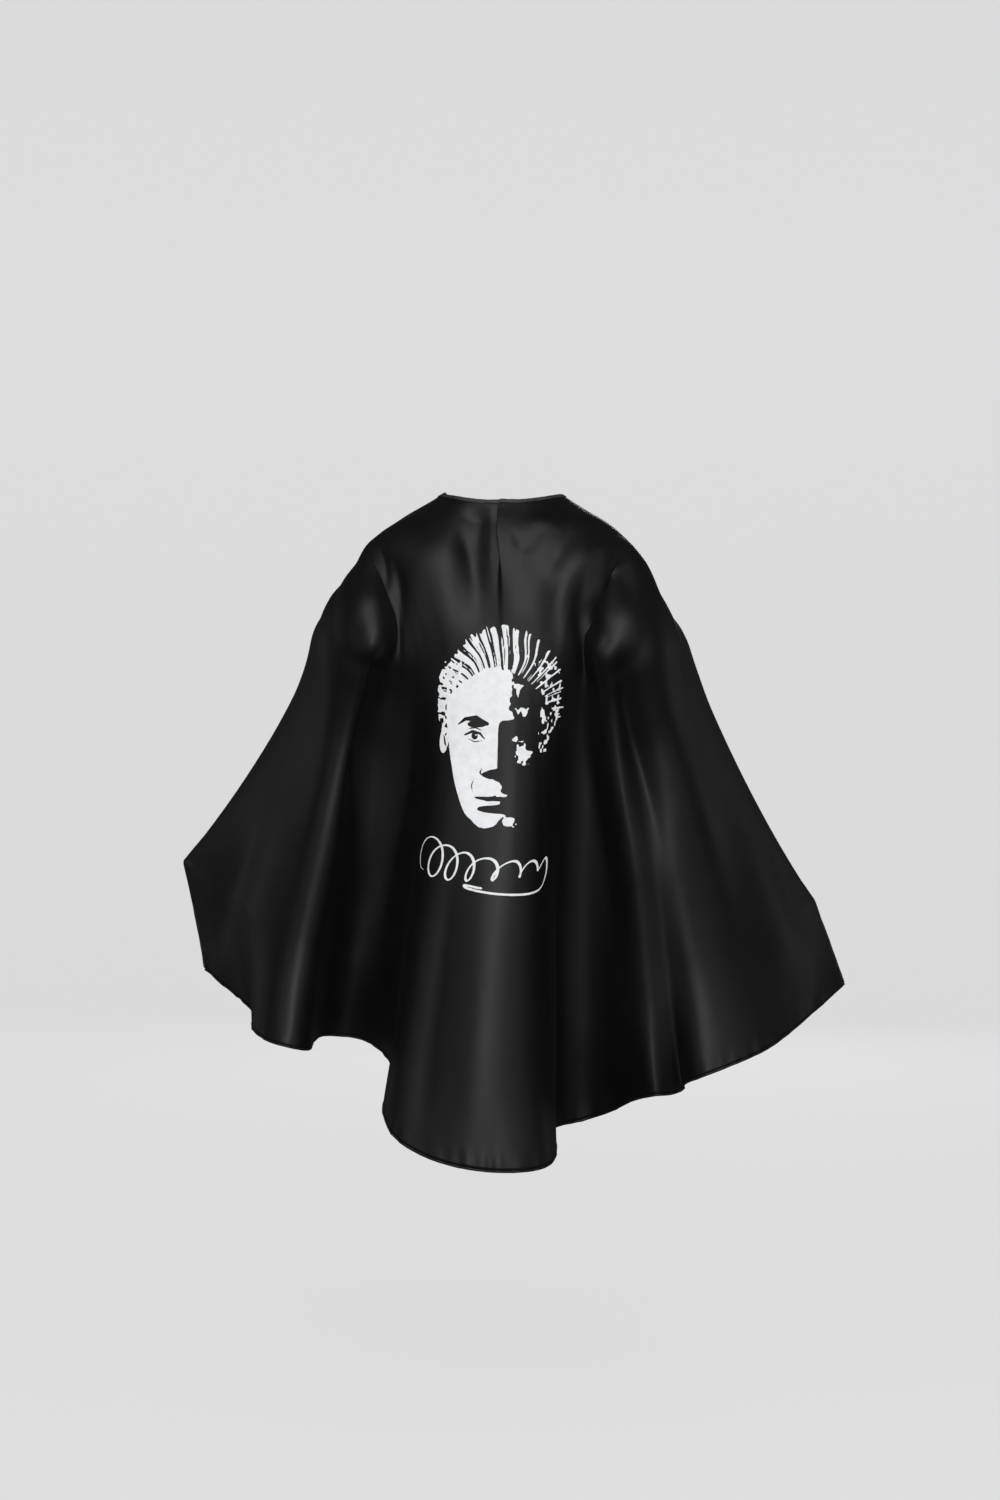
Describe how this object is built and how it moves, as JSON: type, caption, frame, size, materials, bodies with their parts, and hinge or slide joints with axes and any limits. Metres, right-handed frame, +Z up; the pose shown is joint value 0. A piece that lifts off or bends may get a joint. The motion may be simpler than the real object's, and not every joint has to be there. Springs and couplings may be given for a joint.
{
  "type": "barber cape",
  "caption": "Black satin hairdressing cape with a bound neck, rolled hem, snap closure tab and a printed back, draped as worn with the front edges held out.",
  "frame": {"origin": "centre of the neck opening, where the wearer's neck passes through", "axes": "+Z up out of the neck opening, -Y towards the printed back, +X to the right seen from behind the wearer"},
  "size_m": [0.8454, 0.3096, 0.8137],
  "materials": {
    "satin": "black polyester satin with a soft sheen",
    "tape": "black satin bias tape, folded over the edge",
    "thread": "black polyester sewing thread",
    "felt": "grey non-woven interlining",
    "resin": "black moulded resin",
    "ink": "white screen-print ink"
  },
  "bodies": {
    "cape": {"cape_body": "satin", "neck_binding": "tape", "hem_roll": "satin", "left_front_hem": "satin", "right_front_hem": "satin", "pleat_fold": "satin", "pleat_tack": "thread", "base_outer": "satin", "base_lining": "satin", "base_interlining": "felt", "base_stitching": "thread", "snap_sockets": "resin", "snap_backs": "resin", "print_portrait": "ink", "print_flourish": "ink"},
    "closure_tab": {"tab_outer": "satin", "tab_lining": "satin", "tab_interlining": "felt", "tab_stitching": "thread", "snap_caps": "resin", "snap_studs": "resin"}
  },
  "joints": [
    {"name": "tab_peel", "type": "hinge", "parent": "cape", "child": "closure_tab", "pos_m": [0.04244, 0.06286, -0.0352], "axis": [0, 0, -1], "range_deg": [0, 140]}
  ]
}
